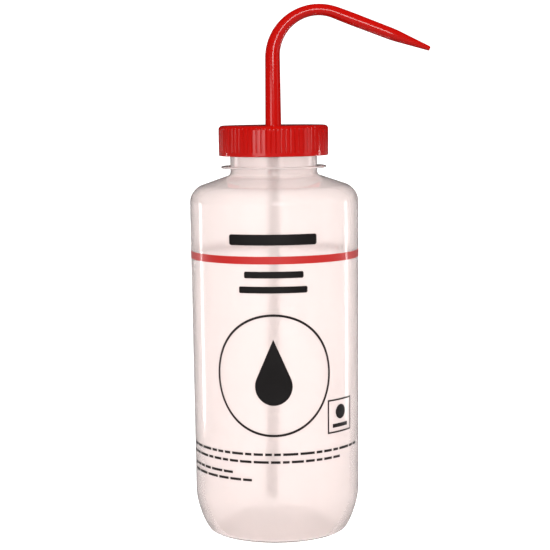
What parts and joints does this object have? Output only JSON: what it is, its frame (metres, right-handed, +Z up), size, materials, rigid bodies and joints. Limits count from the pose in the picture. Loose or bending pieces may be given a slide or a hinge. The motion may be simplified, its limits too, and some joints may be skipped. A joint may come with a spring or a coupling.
{
  "type": "wash bottle",
  "caption": "Squeeze wash bottle with a ribbed screw cap, a swivelling bent spout and a dip tube for squirting liquid.",
  "frame": {"origin": "centre of the flat ring that the bottle stands on", "axes": "+Z up along the bottle's axis; at rest the spout's arm points along +X"},
  "size_m": [0.1268, 0.0888, 0.2773],
  "materials": {
    "bottle_plastic": "satin translucent",
    "red_plastic": "gloss",
    "seal_foam": "matte",
    "tube_plastic": "satin translucent",
    "ink_black": "matte",
    "ink_red": "matte"
  },
  "bodies": {
    "bottle": {"bottle": "bottle_plastic"},
    "closure": {"seal_ring": "seal_foam"},
    "cap": {"screw_cap": "red_plastic"},
    "spout": {"spout": "red_plastic", "dip_tube": "tube_plastic"}
  },
  "joints": [
    {"name": "closure_lift", "type": "slide", "parent": "bottle", "child": "closure", "axis": [0, 0, 1], "range_m": [0, 0.00525]},
    {"name": "cap_turn", "type": "hinge", "parent": "closure", "child": "cap", "pos_m": [0, 0, 0.2068], "axis": [0, 0, 1], "range_deg": [0, 450]},
    {"name": "spout_swivel", "type": "hinge", "parent": "closure", "child": "spout", "pos_m": [0, 0, 0.2121], "axis": [0, 0, 1], "continuous": true}
  ],
  "couplings": [
    {"joint": "closure_lift", "follows": "cap_turn", "m_per_rad": 0.00066845}
  ]
}
